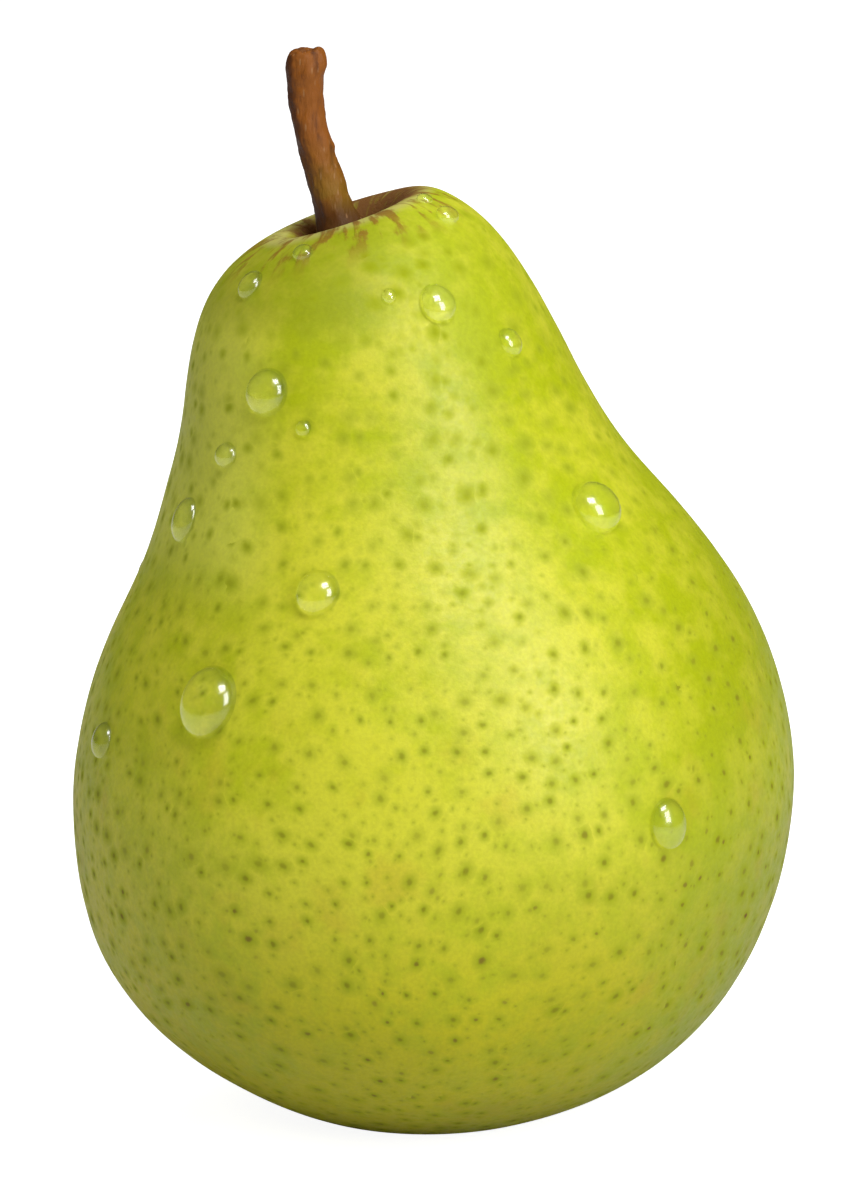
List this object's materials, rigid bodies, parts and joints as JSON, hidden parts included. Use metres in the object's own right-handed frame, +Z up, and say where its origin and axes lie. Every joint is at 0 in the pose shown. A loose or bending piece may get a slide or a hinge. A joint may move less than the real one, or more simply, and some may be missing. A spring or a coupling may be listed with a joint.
{
  "type": "pear",
  "caption": "Whole ripe green pear with its woody stem, dried calyx in the base and water drops on the skin; stands on its flat base ring.",
  "frame": {"origin": "middle of the bottom of the whole part's box, on the surface that the pear stands on", "axes": "+Z up from the base to the stem, -Y the front, +X to the right of the front; the neck and stem lean towards -X"},
  "size_m": [0.0766, 0.077, 0.1132],
  "materials": {
    "skin": "satin",
    "stem_bark": "satin",
    "dried_calyx": "matte",
    "water": "gloss"
  },
  "bodies": {
    "root": {"fruit": "skin", "stem": "stem_bark", "calyx_tuft": "dried_calyx", "sepal_1": "dried_calyx", "sepal_2": "dried_calyx", "sepal_3": "dried_calyx", "sepal_4": "dried_calyx", "sepal_5": "dried_calyx", "drop_01": "water", "drop_02": "water", "drop_03": "water", "drop_04": "water", "drop_05": "water", "drop_06": "water", "drop_07": "water", "drop_08": "water", "drop_09": "water", "drop_10": "water", "drop_11": "water", "drop_12": "water", "drop_13": "water", "drop_14": "water", "drop_15": "water", "drop_16": "water", "drop_17": "water", "drop_18": "water", "drop_19": "water", "drop_20": "water", "drop_21": "water", "drop_22": "water", "drop_23": "water", "drop_24": "water", "drop_25": "water", "drop_26": "water"}
  },
  "joints": []
}
